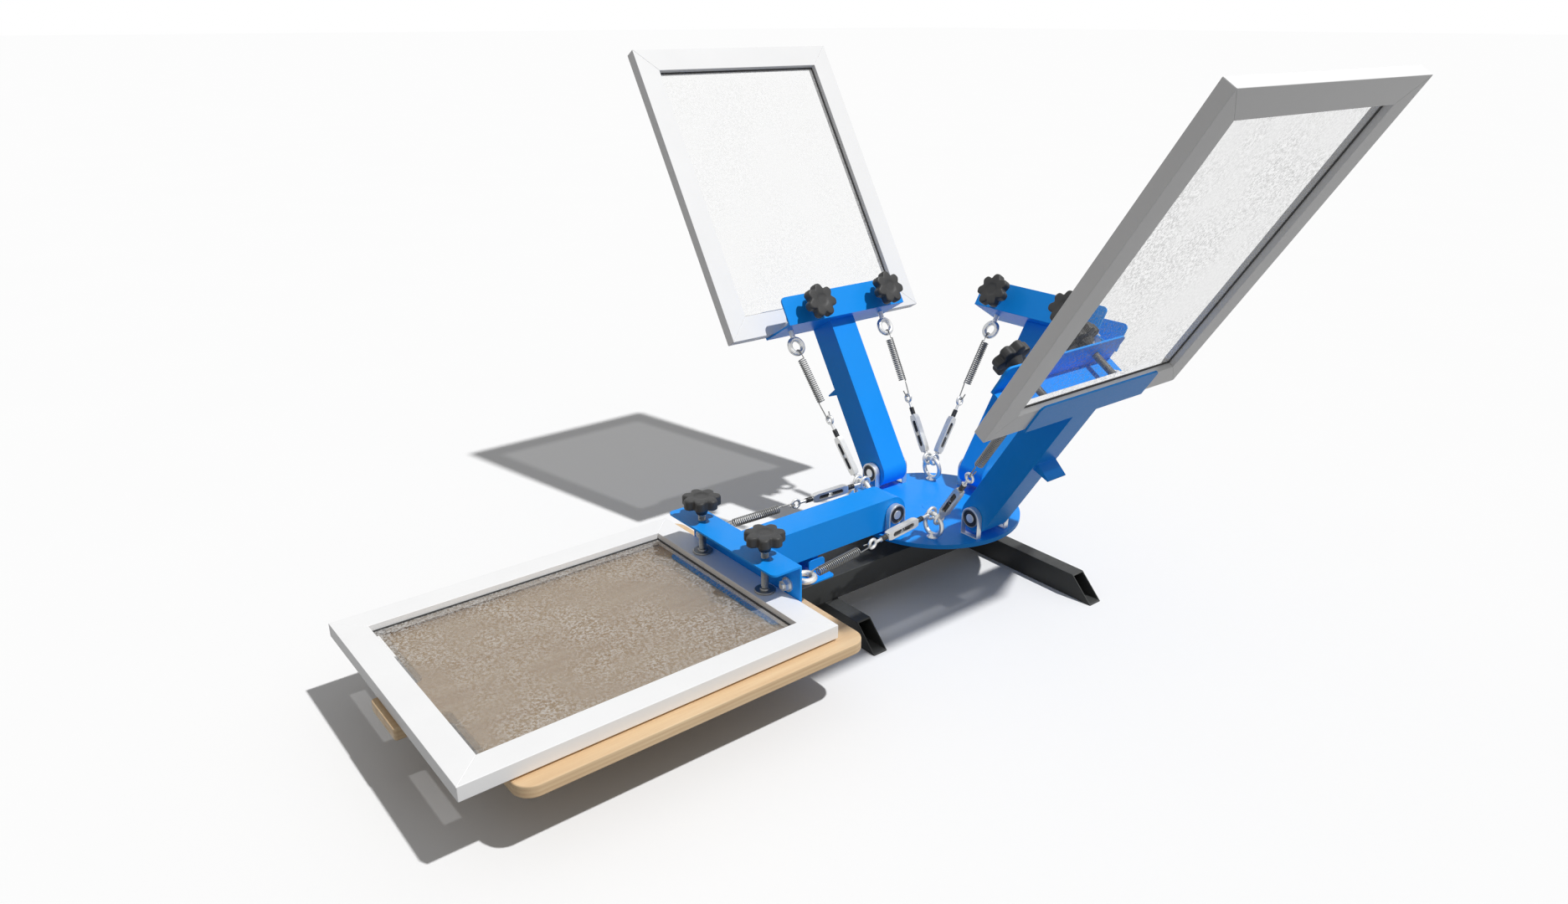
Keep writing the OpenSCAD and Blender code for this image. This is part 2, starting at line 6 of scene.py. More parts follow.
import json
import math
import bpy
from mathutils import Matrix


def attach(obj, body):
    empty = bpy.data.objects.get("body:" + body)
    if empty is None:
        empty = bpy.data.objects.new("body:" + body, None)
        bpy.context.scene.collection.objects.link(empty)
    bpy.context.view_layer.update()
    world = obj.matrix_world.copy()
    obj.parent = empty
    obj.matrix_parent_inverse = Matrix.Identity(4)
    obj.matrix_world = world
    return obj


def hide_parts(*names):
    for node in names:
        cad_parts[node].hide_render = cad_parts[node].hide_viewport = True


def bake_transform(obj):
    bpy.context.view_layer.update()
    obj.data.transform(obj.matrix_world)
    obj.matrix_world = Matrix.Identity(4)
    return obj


bl_info = {
    "name": "Screen printing press",
    "version": (1, 0, 0),
    "blender": (4, 5, 0),
    "location": "View3D > Sidebar > Press",
    "description": "Finishes for a tabletop screen printing press",
    "category": "Object",
}

import bmesh
import bpy
from bpy.props import FloatProperty, FloatVectorProperty, IntProperty, PointerProperty
from mathutils import Matrix, Vector

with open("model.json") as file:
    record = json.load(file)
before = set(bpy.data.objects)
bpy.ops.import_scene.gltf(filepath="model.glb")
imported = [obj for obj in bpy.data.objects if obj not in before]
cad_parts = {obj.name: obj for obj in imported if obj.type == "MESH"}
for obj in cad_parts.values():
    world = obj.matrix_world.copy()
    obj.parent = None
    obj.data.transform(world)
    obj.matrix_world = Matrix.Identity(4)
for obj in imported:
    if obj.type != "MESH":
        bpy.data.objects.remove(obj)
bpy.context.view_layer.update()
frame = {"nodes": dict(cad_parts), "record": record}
RECORD = frame["record"]
BODY_OF = {n: b for b, nodes in RECORD["behaviour"]["bodies"].items() for n in nodes}

MM = 0.001
HEADS = ("front", "left", "rear", "right")
SCREENED = ("front", "left", "right")
CROSSWISE = ("left", "right")
TURN = {"front": -90, "left": 180, "rear": 90, "right": 0}
LIFT = {"front": 0, "left": 58, "rear": 58, "right": 58}
RISE = {"front": 0, "left": 11.5, "rear": 11.5, "right": 11.5}

# Sizes of the solids, in millimetres: the turntable and its hinges
REAR_FOOT_R = 112.3
HINGE_R, HINGE_Z = 111.7, 137.65
BRACKET_IN, BRACKET_OUT = 26.2, 35.5
BEARING_R, COLLAR_R = 14.6, 7.1
RING_PLACE, RING_MAJOR, RING_Z = 79, 17.25, 128.75
DISC_TOP = 107.75

# The screens, and the bead that holds their mesh
SCREEN_START, SCREEN_L, SCREEN_W = 375.7, 508, 406.4
SCREEN_Z, RAIL_W, RAIL_H, BEAD = 102.95, 38.1, 19.05, 2.4
BEAD_EDGE = 0.7

# The clamp screws and their knobs, whose levels are shares of the knob's radius and heights over its hub
SCREW_PLACE, SCREW_SIDE = 394.6, 74
SCREW_R, PAD_R, PAD_T, PAD_Z = 5.5, 14.5, 3, 122.05
HUB_Z, KNOB_Z, KNOB_R, KNOB_LOBES = 181.8, 194.8, 28, 7
LOBE_STEPS, LOBE_DIP, LOBE_POINT = 14, 0.24, 1.8
HUB_LEVELS = ((0.17, 0), (0.255, 0), (0.275, 0.8), (0.36, 7), (0.47, 12.4), (0.5, 13))
LOBED_LEVELS = ((0.62, 13), (0.93, 13.1), (0.985, 14), (1.0, 15.6), (1.0, 24.6), (0.985, 26.2),
                (0.94, 27.4), (0.86, 28))
DISH_LEVELS = ((0.44, 27.9), (0.38, 26.6), (0.2, 26.5))

# The eye bolts, turnbuckles and springs
WEB_IN = 375.2
EYE_R, EYE_SIDE, EYE_Z, EYE_MAJOR, EYE_WIRE = 344.7, 99, 136.05, 12.2, 4.3
EYE_BOLT_CORE, EYE_BOLT_CREST, EYE_BOLT_PITCH = 3.95, 4.35, 1.25
HOOK_TURN_CROSSWISE, HOOK_TURN_LENGTHWISE = 40, -15
BODY_START = {"front": 36, "left": 13, "rear": 13, "right": 13}
HOOK_STUB = {"front": 14, "left": 1.5, "rear": 1.5, "right": 1.5}
BODY_L, STUB_L, STUB_R, SLOT_END, THREAD_L, THREAD_R = 66, 14, 3.6, 10, 20, 2.9
BUCKLE_NECK, BUCKLE_EYE_MAJOR, BUCKLE_EYE_WIRE = 22.25, 6.5, 2.25
BODY_TO_EYE = BUCKLE_NECK + BUCKLE_EYE_MAJOR + BUCKLE_EYE_WIRE
BUCKLE_EYE = {head: start + BODY_L + BODY_TO_EYE for head, start in BODY_START.items()}
COIL_D, WIRE_D, SPRING_LEG, SPRING_END, HOOK_FIT = 13.5, 2, 32, 11, 0.5
LEG_SHARES, BLEND_FROM = (0.85, 0.6, 0.3), 12

# The camera and light, fitted to the photograph
CAMERA_AT = (1.10698, -1.29015, 0.84232)
CAMERA_WAY = (-0.7285, 0.5754, -0.3719)
CAMERA_LENS, CAMERA_SENSOR, CAMERA_FAR = 25.057, 36, 200
SUN_WAY = (-0.445, -0.207, -0.871)
SUN_AT, SUN_STRENGTH, SUN_SPREAD = (2, 1, 4), 2.62, 1.6
SKY_LIGHT, SKY_SEEN = 0.27, 1.0
# The floor's bounce colour is painted shade: diffuse rays see the floor dark grey, so it throws little light
# back onto the press
FLOOR_HALF, FLOOR_BOUNCE = 60, (0.22, 0.22, 0.22, 1)

# The dust on the finishes, and the share of the light that the mesh stops
DUST_COLOUR = (0.62, 0.6, 0.57, 1)
CLOTH_SHADE = 0.88


class PressSizes(bpy.types.PropertyGroup):
    """Sizes that the operators read when they make the pieces"""
    edge: FloatProperty(
        name="Edge radius", description="Rounding of tubes and plates",
        default=0.0011, unit="LENGTH")
    fine_edge: FloatProperty(
        name="Small edge radius", description="Rounding of brackets, pins and bolts",
        default=0.0005, unit="LENGTH")
    spring_turns: IntProperty(
        name="Spring turns", description="Coils in one spring",
        default=23, min=8, max=30)
    thread_pitch: FloatProperty(
        name="Thread pitch", description="Pitch of the clamp screws",
        default=0.002, unit="LENGTH")
    stud_pitch: FloatProperty(
        name="Stud pitch", description="Pitch of the turnbuckle studs",
        default=0.0012, unit="LENGTH")
    mesh_cover: FloatProperty(
        name="Mesh cover", description="Share of the mesh that hides what is behind it",
        default=0.17, min=0, max=1)


class PressColours(bpy.types.PropertyGroup):
    """Colours of the finishes"""
    enamel: FloatVectorProperty(
        name="Enamel", description="Arms, clamps and disc",
        subtype="COLOR", size=3, default=(0.008, 0.33, 0.98))
    powder: FloatVectorProperty(
        name="Powder coat", description="Beam and feet",
        subtype="COLOR", size=3, default=(0.05, 0.052, 0.051))
    zinc: FloatVectorProperty(
        name="Zinc", description="Brackets, pins, rings and turnbuckles",
        subtype="COLOR", size=3, default=(0.8, 0.8, 0.78))
    frame_coat: FloatVectorProperty(
        name="Frame coat", description="Screen frames",
        subtype="COLOR", size=3, default=(0.94, 0.94, 0.94))
    timber_pale: FloatVectorProperty(
        name="Pale timber", description="Light grain of the platen",
        subtype="COLOR", size=3, default=(0.86, 0.66, 0.42))
    timber_dark: FloatVectorProperty(
        name="Dark timber", description="Dark grain of the platen",
        subtype="COLOR", size=3, default=(0.72, 0.5, 0.29))
    cloth: FloatVectorProperty(
        name="Mesh cloth", description="Stretched mesh",
        subtype="COLOR", size=3, default=(0.8, 0.8, 0.79))
    plastic: FloatVectorProperty(
        name="Knob plastic", description="Star knobs",
        subtype="COLOR", size=3, default=(0.04, 0.04, 0.04))


# Placing

ALONG_X = Matrix.Rotation(math.radians(90), 4, "Y")


def post_matrix(head):
    """From a head's side of the turntable, drawn along +X in millimetres, to the frame in metres."""
    place = Matrix.Translation((0, -REAR_FOOT_R, 0)) @ Matrix.Rotation(math.radians(TURN[head]), 4, "Z")
    return Matrix.Scale(MM, 4) @ place


def head_matrix(head):
    """As post_matrix, for a head that is drawn level and then lifted about its hinge."""
    hinge = Vector((HINGE_R, 0, HINGE_Z))
    swing = Matrix.Rotation(-math.radians(LIFT[head]), 4, "Y")
    lift = Matrix.Translation(hinge) @ swing @ Matrix.Translation(-hinge)
    return post_matrix(head) @ lift


def chain_ends(head):
    """Where a head's turnbuckle hooks its ring bolt, and the near side of the eye bolt's wire."""
    turn = math.radians(HOOK_TURN_CROSSWISE if head in CROSSWISE else HOOK_TURN_LENGTHWISE)
    along, z = RING_PLACE + RING_MAJOR * math.sin(turn), RING_Z + RING_MAJOR * math.cos(turn)
    start = Vector((along, RING_PLACE, z) if head in CROSSWISE else (RING_PLACE, along, z))
    a = math.radians(LIFT[head])
    dx, dz = EYE_R - EYE_MAJOR - HINGE_R, EYE_Z + RISE[head] - HINGE_Z
    end_x = HINGE_R + dx * math.cos(a) - dz * math.sin(a)
    end_z = HINGE_Z + dx * math.sin(a) + dz * math.cos(a)
    return start, Vector((end_x, EYE_SIDE, end_z))


def chain_matrices(head):
    """Both chains of a head, drawn along +X from the ring bolt."""
    start, end = chain_ends(head)
    way = end - start
    pitch, yaw = math.atan2(way.z, way.x), math.atan2(way.y, math.hypot(way.x, way.z))
    lean = Matrix.Translation(start) @ Matrix.Rotation(-pitch, 4, "Y") @ Matrix.Rotation(yaw, 4, "Z")
    flip = Matrix.Scale(-1, 4, (0, 1, 0))
    return [post_matrix(head) @ lean, post_matrix(head) @ flip @ lean]


# Shaping

def keep(name, bm, finish, body=None, replaced=(), sharp=35, mend=True):
    """Turns a bmesh into a piece of the press."""
    if mend:
        bmesh.ops.recalc_face_normals(bm, faces=bm.faces)
    mesh = bpy.data.meshes.new(name)
    bm.to_mesh(mesh)
    bm.free()
    mesh.shade_smooth()
    mesh.set_sharp_from_angle(angle=math.radians(sharp))
    piece = bpy.data.objects.new(name, mesh)
    bpy.context.scene.collection.objects.link(piece)
    mesh.materials.append(finish)
    weighted = piece.modifiers.new("flat faces", "WEIGHTED_NORMAL")
    weighted.keep_sharp = True
    if body:
        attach(piece, body)
    if replaced:
        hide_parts(*replaced)
    return piece


def round_edges(bm, radius, segments=2, from_angle=30):
    """Bevels each edge that bends by more than an angle."""
    edges = [e for e in bm.edges if e.is_manifold and e.calc_face_angle(0) > math.radians(from_angle)]
    bmesh.ops.bevel(bm, geom=edges, offset=radius, offset_type="OFFSET", segments=segments, profile=0.5,
                    affect="EDGES", material=-1, clamp_overlap=True)


def dress(node, finish, radius, segments=2):
    """A copy of a solid with its edges rounded, standing for it."""
    bm = bmesh.new()
    bm.from_mesh(frame["nodes"][node].data)
    bmesh.ops.remove_doubles(bm, verts=bm.verts, dist=2e-6)
    bmesh.ops.dissolve_limit(bm, angle_limit=math.radians(0.6), verts=bm.verts, edges=bm.edges)
    round_edges(bm, radius, segments)
    return keep(node + "_finished", bm, finish, BODY_OF[node], [node], mend=False)


def ring_edges(verts):
    """The edges that run between the vertices of a ring."""
    inside = set(verts)
    touching = {e for v in verts for e in v.link_edges}
    return [e for e in touching if e.verts[0] in inside and e.verts[1] in inside]


def grow(bm, ring, matrix):
    """Draws a ring of vertices out to its next place."""
    out = bmesh.ops.extrude_edge_only(bm, edges=ring_edges(ring))["geom"]
    verts = [g for g in out if isinstance(g, bmesh.types.BMVert)]
    bmesh.ops.transform(bm, matrix=matrix, verts=verts)
    return verts


def cap(bm, ring):
    """Closes a ring with one face."""
    bmesh.ops.contextual_create(bm, geom=ring_edges(ring))


def follow(bm, ring, at, way, route):
    """Draws a ring of wire on from a place along a route, and closes its end."""
    points = [at] + [Vector(p) for p in route]
    last = len(points) - 1
    for i in range(1, last + 1):
        onward = (points[min(i + 1, last)] - points[i - 1]).normalized()
        turn = way.rotation_difference(onward).to_matrix().to_4x4()
        ring = grow(bm, ring, Matrix.Translation(points[i]) @ turn @ Matrix.Translation(-points[i - 1]))
        way = onward
    cap(bm, ring)


def coil(bm, size, first, last, turns, lead, tail, matrix, rings=14, sides=8):
    """A spring along +X: its coil is spun, then its wire is drawn on along the lead and the tail."""
    radius, wire = size
    before = set(bm.verts)
    count = round(turns * rings)
    angle = 2 * math.pi * count / rings
    at, way = Vector((first, radius, 0)), Vector(((last - first) / angle, 0, radius)).normalized()
    start = Matrix.Translation(at) @ way.to_track_quat("Z", "Y").to_matrix().to_4x4()
    ring = bmesh.ops.create_circle(bm, segments=sides, radius=wire, matrix=start)["verts"]
    out = bmesh.ops.spin(bm, geom=ring + ring_edges(ring), cent=(0, 0, 0), axis=(1, 0, 0),
                         dvec=((last - first) / count, 0, 0), angle=angle, steps=count)["geom_last"]
    end = [v for v in out if isinstance(v, bmesh.types.BMVert)]
    follow(bm, ring, at, -way, lead)
    turn = Matrix.Rotation(angle, 4, "X")
    follow(bm, end, Vector((last, 0, 0)) + turn @ Vector((0, radius, 0)), turn @ way, tail)
    bmesh.ops.transform(bm, matrix=matrix, verts=[v for v in bm.verts if v not in before])


def turned(bm, profile, matrix, steps=48):
    """A profile of (radius, height) spun round +Z; it starts and ends on the axis or closes on itself."""
    before = set(bm.verts)
    verts = [bm.verts.new((r, 0, z)) for r, z in profile]
    edges = [bm.edges.new(pair) for pair in zip(verts, verts[1:])]
    if profile[0][0] > 0:
        edges.append(bm.edges.new((verts[-1], verts[0])))
    bmesh.ops.spin(bm, geom=verts + edges, cent=(0, 0, 0), axis=(0, 0, 1), angle=2 * math.pi, steps=steps,
                   use_merge=True)
    made = [v for v in bm.verts if v not in before]
    bmesh.ops.remove_doubles(bm, verts=made, dist=1e-4)
    made = [v for v in bm.verts if v not in before]
    bmesh.ops.transform(bm, matrix=matrix, verts=made)


def thread(bm, core, crest, pitch, low, high, matrix, steps=16):
    """A closed ridge wound round +Z from low to high."""
    before = set(bm.verts)
    section = ((core, low), (crest, low + pitch * 0.45), (crest, low + pitch * 0.55), (core, low + pitch))
    corners = [bm.verts.new((r, 0, z)) for r, z in section]
    face = bm.faces.new(corners)
    turns = (high - low) / pitch - 1
    count = max(1, round(turns * steps))
    bmesh.ops.spin(bm, geom=[face, *face.edges, *corners], cent=(0, 0, 0), axis=(0, 0, 1),
                   dvec=(0, 0, turns * pitch / count), angle=2 * math.pi * turns, steps=count)
    made = [v for v in bm.verts if v not in before]
    bmesh.ops.transform(bm, matrix=matrix, verts=made)


def rod(bm, radius, low, high, matrix, chamfer=0.6, steps=32):
    """A round bar along +Z, chamfered at both ends."""
    end = radius - chamfer
    profile = [(0, low), (end, low), (radius, low + chamfer), (radius, high - chamfer), (end, high),
               (0, high)]
    turned(bm, profile, matrix, steps)


# Shading

NUMBER, COLOUR, VECTOR = "NodeSocketFloat", "NodeSocketColor", "NodeSocketVector"
GROUPS = {}
FINISHES = {}


def put(tree, kind, inputs=None, **settings):
    """A new node with its settings made, and each input set or linked."""
    node = tree.nodes.new(kind)
    for key, value in settings.items():
        setattr(node, key, value)
    for key, value in (inputs or {}).items():
        if isinstance(value, bpy.types.NodeSocket):
            tree.links.new(value, node.inputs[key])
        else:
            node.inputs[key].default_value = value
    return node


def number(tree, operation, a, b=0.0, clamp=False):
    """The result of a Math node."""
    return put(tree, "ShaderNodeMath", {0: a, 1: b}, operation=operation, use_clamp=clamp).outputs[0]


def mixed(tree, share, a, b):
    """A colour between two others."""
    return put(tree, "ShaderNodeMix", {0: share, 6: a, 7: b}, data_type="RGBA").outputs[2]


def spread(tree, value, low, high, start=0.0, stop=1.0):
    """A value carried from start and stop to low and high."""
    return put(tree, "ShaderNodeMapRange", {0: value, 1: start, 2: stop, 3: low, 4: high}).outputs[0]


def speckle(tree, place, scale, detail, rough=0.5):
    """The value of a Noise Texture node."""
    inputs = {"Vector": place, "Scale": scale, "Detail": detail, "Roughness": rough}
    return put(tree, "ShaderNodeTexNoise", inputs).outputs[0]


def raised(tree, height, strength, distance):
    """The normal from a Bump node."""
    inputs = {"Height": height, "Strength": strength, "Distance": distance}
    return put(tree, "ShaderNodeBump", inputs).outputs[0]


def group(name, inputs, outputs):
    """A shader group with its named sockets: its tree, what it is given and where its results go."""
    tree = bpy.data.node_groups.new(name, "ShaderNodeTree")
    for label, kind, default in inputs:
        socket = tree.interface.new_socket(label, in_out="INPUT", socket_type=kind)
        if default is not None:
            socket.default_value = default
    for label, kind in outputs:
        tree.interface.new_socket(label, in_out="OUTPUT", socket_type=kind)
    return tree, put(tree, "NodeGroupInput").outputs, put(tree, "NodeGroupOutput").inputs


def surface_grain():
    """Fine tooth for roughness and bump, and slow clouds for tint."""
    tree, given, result = group(
        "surface_grain", [("Vector", VECTOR, None), ("Scale", NUMBER, 900.0), ("Cloud Scale", NUMBER, 9.0)],
        [("Tooth", NUMBER), ("Cloud", NUMBER)])
    tooth = speckle(tree, given["Vector"], given["Scale"], 2.0)
    cloud = speckle(tree, given["Vector"], given["Cloud Scale"], 4.0, 0.6)
    tree.links.new(tooth, result["Tooth"])
    tree.links.new(spread(tree, cloud, 0, 1, 0.3, 0.7), result["Cloud"])
    return tree


def edge_wear():
    """A mask along outer edges, broken up by noise."""
    tree, given, result = group(
        "edge_wear",
        [("Vector", VECTOR, None), ("Radius", NUMBER, 0.0012), ("Amount", NUMBER, 0.3),
         ("Scale", NUMBER, 70.0)],
        [("Mask", NUMBER)])
    bevel = put(tree, "ShaderNodeBevel", {"Radius": given["Radius"]}, samples=4)
    plain = put(tree, "ShaderNodeNewGeometry").outputs["Normal"]
    dot = put(tree, "ShaderNodeVectorMath", {0: bevel.outputs[0], 1: plain}, operation="DOT_PRODUCT")
    edge = spread(tree, dot.outputs["Value"], 0, 1, 0.995, 0.93)
    patches = speckle(tree, given["Vector"], given["Scale"], 5.0, 0.7)
    broken = number(tree, "MULTIPLY", edge, spread(tree, patches, 0, 1, 0.5, 0.62))
    tree.links.new(number(tree, "MULTIPLY", broken, given["Amount"], clamp=True), result["Mask"])
    return tree


def dust():
    """A thin film where a surface faces up."""
    tree, given, result = group(
        "dust", [("Vector", VECTOR, None), ("Amount", NUMBER, 0.05), ("Scale", NUMBER, 26.0)],
        [("Mask", NUMBER)])
    normal = put(tree, "ShaderNodeTexCoord").outputs["Normal"]
    up = spread(tree, put(tree, "ShaderNodeSeparateXYZ", {0: normal}).outputs[2], 0, 1, 0.5, 1)
    patches = speckle(tree, given["Vector"], given["Scale"], 6.0, 0.75)
    film = number(tree, "MULTIPLY", up, spread(tree, patches, 0, 1, 0.4, 0.75))
    tree.links.new(number(tree, "MULTIPLY", film, given["Amount"], clamp=True), result["Mask"])
    return tree


def timber_grain():
    """Long grain along Y on the faces, and plies along Z on the edges."""
    tree, given, result = group(
        "timber_grain",
        [("Vector", VECTOR, None), ("Pale", COLOUR, None), ("Dark", COLOUR, None), ("Ply", NUMBER, 0.0027)],
        [("Color", COLOUR), ("Height", NUMBER)])
    place = given["Vector"]
    drawn = put(tree, "ShaderNodeMapping", {"Vector": place, "Scale": (26.0, 1.6, 26.0)}).outputs[0]
    bend = put(tree, "ShaderNodeTexNoise", {"Vector": drawn, "Scale": 0.9, "Detail": 2.0}).outputs[1]
    shifted = put(tree, "ShaderNodeVectorMath", {0: drawn, 1: bend}, operation="ADD").outputs[0]
    rings = speckle(tree, shifted, 2.4, 6.0, 0.62)
    fine = put(tree, "ShaderNodeMapping", {"Vector": place, "Scale": (900.0, 24.0, 500.0)}).outputs[0]
    pores = speckle(tree, fine, 1.0, 2.0)
    height = put(tree, "ShaderNodeSeparateXYZ", {0: place}).outputs[2]
    ply = number(tree, "PINGPONG", number(tree, "DIVIDE", height, given["Ply"]), 1.0)
    layers = spread(tree, ply, 0, 0.4, 0.42, 0.58)
    bands, flecks = spread(tree, rings, 0, 0.75, 0.4, 0.72), spread(tree, pores, 0, 0.3, 0.5, 0.75)
    share = number(tree, "ADD", number(tree, "ADD", bands, flecks), layers, clamp=True)
    tree.links.new(mixed(tree, share, given["Pale"], given["Dark"]), result["Color"])
    tree.links.new(number(tree, "SUBTRACT", rings, pores), result["Height"])
    return tree


def weave():
    """Crossed threads with a mottled cover."""
    tree, given, result = group(
        "weave",
        [("Vector", VECTOR, None), ("Threads", NUMBER, 1500.0), ("Cover", NUMBER, 0.17),
         ("Mottle", NUMBER, 0.3)],
        [("Cover", NUMBER), ("Height", NUMBER)])
    waves = []
    for axis in ("X", "Y"):
        inputs = {"Vector": given["Vector"], "Scale": given["Threads"]}
        waves.append(put(tree, "ShaderNodeTexWave", inputs, bands_direction=axis).outputs["Fac"])
    cloth = number(tree, "MAXIMUM", waves[0], waves[1])
    patches = spread(tree, speckle(tree, given["Vector"], 9.0, 3.0, 0.6), 0.15, 1, 0.38, 0.62)
    specks = spread(tree, speckle(tree, given["Vector"], 260.0, 3.0, 0.8), -0.5, 1, 0.42, 0.6)
    mottled = number(tree, "MULTIPLY", patches, specks)
    cover = number(tree, "ADD", given["Cover"], number(tree, "MULTIPLY", mottled, given["Mottle"]))
    cover = number(tree, "ADD", cover, spread(tree, cloth, -0.05, 0.05))
    tree.links.new(number(tree, "MAXIMUM", cover, 0.05, clamp=True), result["Cover"])
    tree.links.new(cloth, result["Height"])
    return tree


def use(tree, maker, inputs):
    """The outputs of a shared group, which is made the first time it is asked for."""
    if maker not in GROUPS:
        GROUPS[maker] = maker()
    return put(tree, "ShaderNodeGroup", inputs, node_tree=GROUPS[maker]).outputs


def blank(name):
    """A new material, its tree, its shader and the place on the piece."""
    material = bpy.data.materials.new(name)
    material.use_nodes = True
    tree = material.node_tree
    shader = tree.nodes["Principled BSDF"]
    place = put(tree, "ShaderNodeTexCoord").outputs["Object"]
    return material, tree, shader, place


def opaque(colour):
    """A colour with nothing let through."""
    return (*colour, 1.0)


def coated(name, colour, roughness, metallic=0.0, coat=0.0, tooth=900.0, bump=0.03, roughness_spread=0.06,
           tint=0.9, cloud=9.0, wear=0.0, worn=(0.5, 0.5, 0.5), film=0.0, specular=0.5):
    """A painted, plated, turned or moulded surface."""
    if name in FINISHES:
        return FINISHES[name]
    material, tree, shader, place = blank(name)
    grain = use(tree, surface_grain, {"Vector": place, "Scale": tooth, "Cloud Scale": cloud})
    shade = mixed(tree, grain["Cloud"], opaque(colour), opaque([c * tint for c in colour]))
    if wear:
        mask = use(tree, edge_wear, {"Vector": place, "Amount": wear})["Mask"]
        shade = mixed(tree, mask, shade, opaque(worn))
    if film:
        mask = use(tree, dust, {"Vector": place, "Amount": film})["Mask"]
        shade = mixed(tree, mask, shade, DUST_COLOUR)
    tree.links.new(shade, shader.inputs["Base Color"])
    smooth, rough = roughness - roughness_spread, roughness + roughness_spread
    tree.links.new(spread(tree, grain["Tooth"], smooth, rough, 0.3, 0.7), shader.inputs["Roughness"])
    tree.links.new(raised(tree, grain["Tooth"], bump, 0.001), shader.inputs["Normal"])
    shader.inputs["Metallic"].default_value = metallic
    shader.inputs["Coat Weight"].default_value = coat
    shader.inputs["Coat Roughness"].default_value = 0.12
    shader.inputs["Specular IOR Level"].default_value = specular
    FINISHES[name] = material
    return material


def enamel():
    """The blue of the arms, clamps and disc."""
    return coated("blue_enamel", bpy.context.scene.press_colours.enamel, 0.42, coat=0.06, tooth=520,
                  bump=0.04, tint=0.95, wear=0.16, worn=(0.1, 0.4, 0.85), film=0.02, specular=0.16)


def powder():
    """The black of the beam and feet."""
    return coated("black_powder", bpy.context.scene.press_colours.powder, 0.55, tooth=1500, bump=0.12,
                  tint=0.8, wear=0.2, worn=(0.2, 0.2, 0.2), film=0.05, specular=0.35)


def zinc():
    """The plating of brackets, pins, rings and turnbuckles."""
    return coated("zinc_plate", bpy.context.scene.press_colours.zinc, 0.34, metallic=0.72, tooth=700,
                  bump=0.015, roughness_spread=0.05, tint=0.95, cloud=30)


def steel():
    """The bare steel of the post and bearings."""
    return coated("turned_steel", (0.42, 0.41, 0.4), 0.36, metallic=0.85, tooth=1200, bump=0.05, tint=0.8,
                  cloud=40)


def spring_steel():
    """The steel of the springs and clamp screws."""
    return coated("spring_wire", (0.3, 0.3, 0.29), 0.34, metallic=0.7, tooth=1500, bump=0.04, tint=0.75,
                  cloud=60)


def oxide():
    """The black of the bearing seals and turnbuckle studs."""
    return coated("black_oxide", (0.035, 0.035, 0.036), 0.42, metallic=0.3, tooth=1200, bump=0.05, tint=0.7,
                  cloud=40, wear=0.3, worn=(0.3, 0.3, 0.3))


def plastic():
    """The black of the star knobs."""
    return coated("moulded_plastic", bpy.context.scene.press_colours.plastic, 0.5, tooth=1400, bump=0.1,
                  tint=0.85, cloud=30, film=0.03, specular=0.4)


def frame_coat():
    """The white of the screen frames."""
    return coated("white_coat", bpy.context.scene.press_colours.frame_coat, 0.42, tooth=900, bump=0.04,
                  tint=0.975, cloud=14, specular=0.3)


def bead_rubber():
    """The black of the bead round each mesh."""
    return coated("bead_rubber", (0.03, 0.03, 0.03), 0.6, tooth=1600, bump=0.1, tint=0.7, cloud=50)


def timber():
    """The plywood of the platen."""
    if "timber" in FINISHES:
        return FINISHES["timber"]
    colours = bpy.context.scene.press_colours
    material, tree, shader, place = blank("plywood")
    pale, dark = opaque(colours.timber_pale), opaque(colours.timber_dark)
    grain = use(tree, timber_grain, {"Vector": place, "Pale": pale, "Dark": dark})
    tree.links.new(grain["Color"], shader.inputs["Base Color"])
    tree.links.new(spread(tree, grain["Height"], 0.42, 0.56, -0.2, 0.2), shader.inputs["Roughness"])
    tree.links.new(raised(tree, grain["Height"], 0.12, 0.0006), shader.inputs["Normal"])
    shader.inputs["Specular IOR Level"].default_value = 0.3
    FINISHES["timber"] = material
    return material


def cloth():
    """Open mesh, most of it closed to the light's shadow rays so that it shades as a coated screen does."""
    if "cloth" in FINISHES:
        return FINISHES["cloth"]
    scene = bpy.context.scene
    material, tree, shader, place = blank("screen_cloth")
    woven = use(tree, weave, {"Vector": place, "Cover": scene.press_sizes.mesh_cover})
    shader.inputs["Base Color"].default_value = opaque(scene.press_colours.cloth)
    lit = put(tree, "ShaderNodeLightPath").outputs["Is Shadow Ray"]
    shaded = number(tree, "MULTIPLY", lit, CLOTH_SHADE)
    tree.links.new(number(tree, "MAXIMUM", woven["Cover"], shaded), shader.inputs["Alpha"])
    tree.links.new(raised(tree, woven["Height"], 0.1, 0.0002), shader.inputs["Normal"])
    tree.links.new(spread(tree, woven["Cover"], 0.5, 0.75), shader.inputs["Roughness"])
    shader.inputs["Specular IOR Level"].default_value = 0.2
    material.surface_render_method = "BLENDED"
    FINISHES["cloth"] = material
    return material


# Pieces

